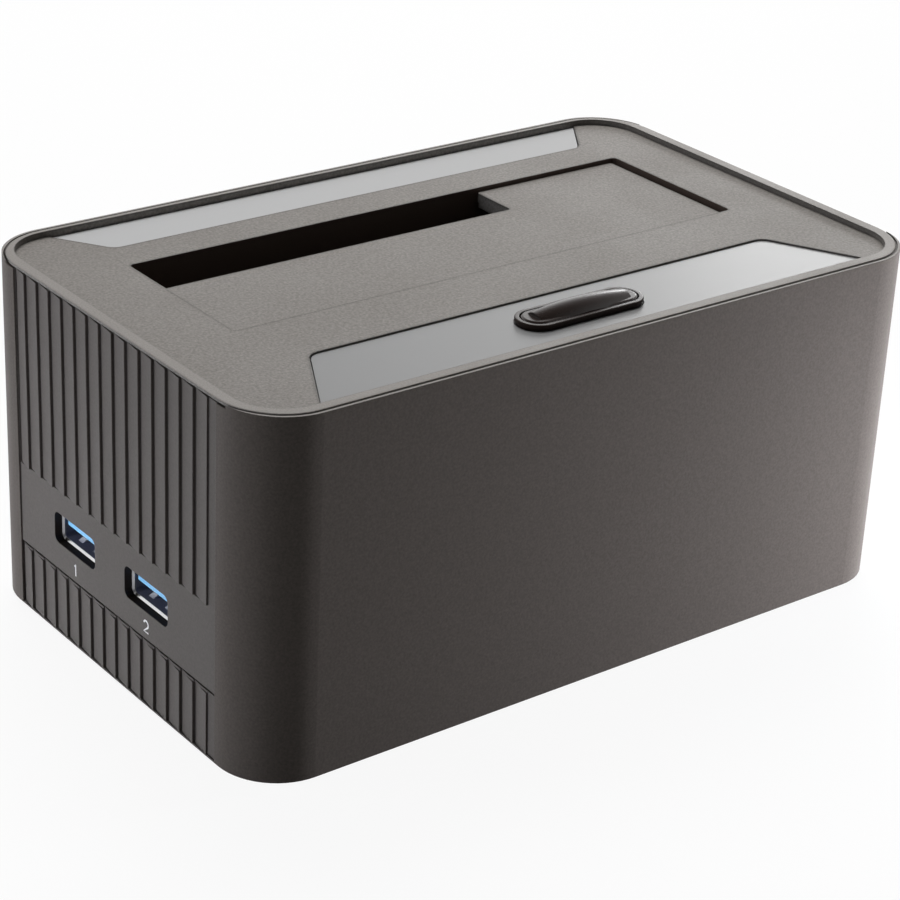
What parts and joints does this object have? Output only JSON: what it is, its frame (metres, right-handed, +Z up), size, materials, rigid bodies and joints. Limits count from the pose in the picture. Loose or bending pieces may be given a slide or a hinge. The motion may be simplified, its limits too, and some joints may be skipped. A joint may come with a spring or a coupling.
{
  "type": "hard drive docking station",
  "caption": "Desktop dock for bare hard drives: a rounded ribbed case with a hinged flap over an upright bay, eject button, side USB sockets and rear power and host sockets.",
  "frame": {"origin": "middle of the footprint, on the surface that the rubber feet stand on", "axes": "+Z up, +X to the right along the front face, +Y towards the back; the side sockets face -X and the rear sockets +Y"},
  "size_m": [0.1352, 0.0842, 0.0642],
  "materials": {
    "shell_plastic": "satin dark taupe",
    "deck_plastic": "fine grained warm grey",
    "inlay_silver": "smooth silver grey",
    "button_black": "piano black",
    "black_plastic": "black",
    "guide_plastic": "natural white",
    "steel": "bright wire and ground pins",
    "screw_steel": "zinc plated",
    "port_metal": "bright nickel",
    "port_blue": "blue",
    "contact_gold": "gold plated",
    "pin_metal": "bright nickel",
    "board_green": "green solder mask",
    "chip_black": "black moulding",
    "can_metal": "plain",
    "rubber": "matt"
  },
  "bodies": {
    "case": {"back_inlay": "inlay_silver", "base_cover": "shell_plastic", "board_capacitors": "can_metal", "board_chips": "chip_black", "board_inductors": "chip_black", "board_link": "black_plastic", "board_screws": "screw_steel", "button_bezel": "button_black", "button_spring": "steel", "case_screws": "screw_steel", "dc_jack": "black_plastic", "dc_jack_pin": "pin_metal", "drive_bay": "black_plastic", "flap_pin": "steel", "flap_spring_left": "steel", "flap_spring_right": "steel", "foot_back_left": "rubber", "foot_back_right": "rubber", "foot_front_left": "rubber", "foot_front_right": "rubber", "front_inlay": "inlay_silver", "host_core": "port_blue", "host_shell": "port_metal", "housing_shell": "shell_plastic", "lever_pin": "steel", "main_board": "board_green", "sata_connector": "black_plastic", "sata_contacts": "contact_gold", "side_board": "board_green", "spring_retainer": "guide_plastic", "switch_body": "black_plastic", "top_cover": "deck_plastic", "usb_contacts_1": "contact_gold", "usb_contacts_2": "contact_gold", "usb_core_1": "port_blue", "usb_core_2": "port_blue", "usb_shell_1": "port_metal", "usb_shell_2": "port_metal"},
    "flap": {"bay_flap": "deck_plastic"},
    "button": {"eject_button": "button_black", "button_plunger": "guide_plastic"},
    "lever": {"eject_lever": "guide_plastic"},
    "rocker": {"power_rocker": "black_plastic"}
  },
  "joints": [
    {"name": "flap_hinge", "type": "hinge", "parent": "case", "child": "flap", "pos_m": [0, -0.0069, 0.0592], "axis": [-1, 0, 0], "range_deg": [0, 88], "stiffness_Nm_per_rad": 0.002, "springref_deg": -57.3, "deforming": ["flap_spring_left", "flap_spring_right"]},
    {"name": "button_slide", "type": "slide", "parent": "case", "child": "button", "axis": [0, 0, -1], "range_m": [0, 0.0026], "stiffness_N_per_m": 400, "springref_m": -0.003, "deforming": ["button_spring"]},
    {"name": "lever_pivot", "type": "hinge", "parent": "case", "child": "lever", "pos_m": [0.0006, -0.0145, 0.0152], "axis": [1, 0, 0], "range_deg": [0, 10]},
    {"name": "rocker_tilt", "type": "hinge", "parent": "case", "child": "rocker", "pos_m": [-0.016, 0.0375, 0.0145], "axis": [0, 0, -1], "range_deg": [0, 18]}
  ],
  "couplings": [
    {"joint": "lever_pivot", "follows": "button_slide", "rad_per_m": 63.291}
  ]
}
